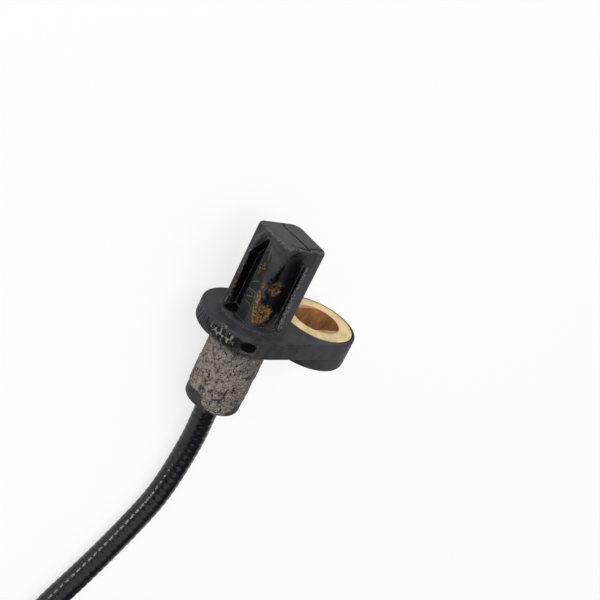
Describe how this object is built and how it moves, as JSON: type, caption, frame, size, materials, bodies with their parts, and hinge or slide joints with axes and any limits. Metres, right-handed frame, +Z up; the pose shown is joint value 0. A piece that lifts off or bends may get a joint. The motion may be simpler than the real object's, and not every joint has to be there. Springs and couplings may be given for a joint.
{
  "type": "abs wheel speed sensor",
  "caption": "Wheel speed sensor with a fluted square nose, a flange ear with a slotted brass bush, a round body and a ribbed cable wound in a tied coil to its sealed connector.",
  "frame": {"origin": "on the table under the middle of the sensor's own box, without the cable", "axes": "+X along the way the nose points, seen from above; +Y away from the bolt ear; +Z up, with the sensor lying on the edge of its flange and the rear edge of its body"},
  "size_m": [0.1913, 0.0742, 0.0224],
  "materials": {
    "black_plastic": "scuffed moulded, rust stained on the nose, crusted on the body",
    "brass": "dull, stained",
    "carrier_plastic": "moulded",
    "chip_epoxy": "moulded",
    "magnet_nickel": "plated",
    "capacitor_glaze": "glazed",
    "tinned_copper": "tinned",
    "core_white": "smooth",
    "core_black": "smooth",
    "ferrule_steel": "crimped",
    "cable_jacket": "ring ribbed, satin",
    "tie_nylon": "moulded",
    "connector_plastic": "fine moulded grain",
    "lock_plastic": "moulded",
    "seal_rubber": "soft",
    "boot_rubber": "soft, matt"
  },
  "bodies": {
    "root": {"sensor_housing": "black_plastic", "mounting_bush": "brass", "sensor_carrier": "carrier_plastic", "sensing_chip": "chip_epoxy", "bias_magnet": "magnet_nickel", "filter_capacitor": "capacitor_glaze", "lead_strip_a": "tinned_copper", "lead_strip_b": "tinned_copper", "crimp_sleeve_a": "tinned_copper", "crimp_sleeve_b": "tinned_copper", "core_wire_a": "core_white", "core_wire_b": "core_black", "cable_ferrule": "ferrule_steel", "cable": "cable_jacket", "cable_coil": "cable_jacket", "cable_tail": "cable_jacket", "coil_tie_a": "tie_nylon", "coil_tie_b": "tie_nylon", "coil_tie_c": "tie_nylon", "connector_housing": "connector_plastic", "terminal_lock": "lock_plastic", "cable_boot": "boot_rubber", "terminal_a": "tinned_copper", "terminal_b": "tinned_copper", "wire_seal_a": "seal_rubber", "wire_seal_b": "seal_rubber", "connector_core_a": "core_white", "connector_core_b": "core_black"}
  },
  "joints": []
}
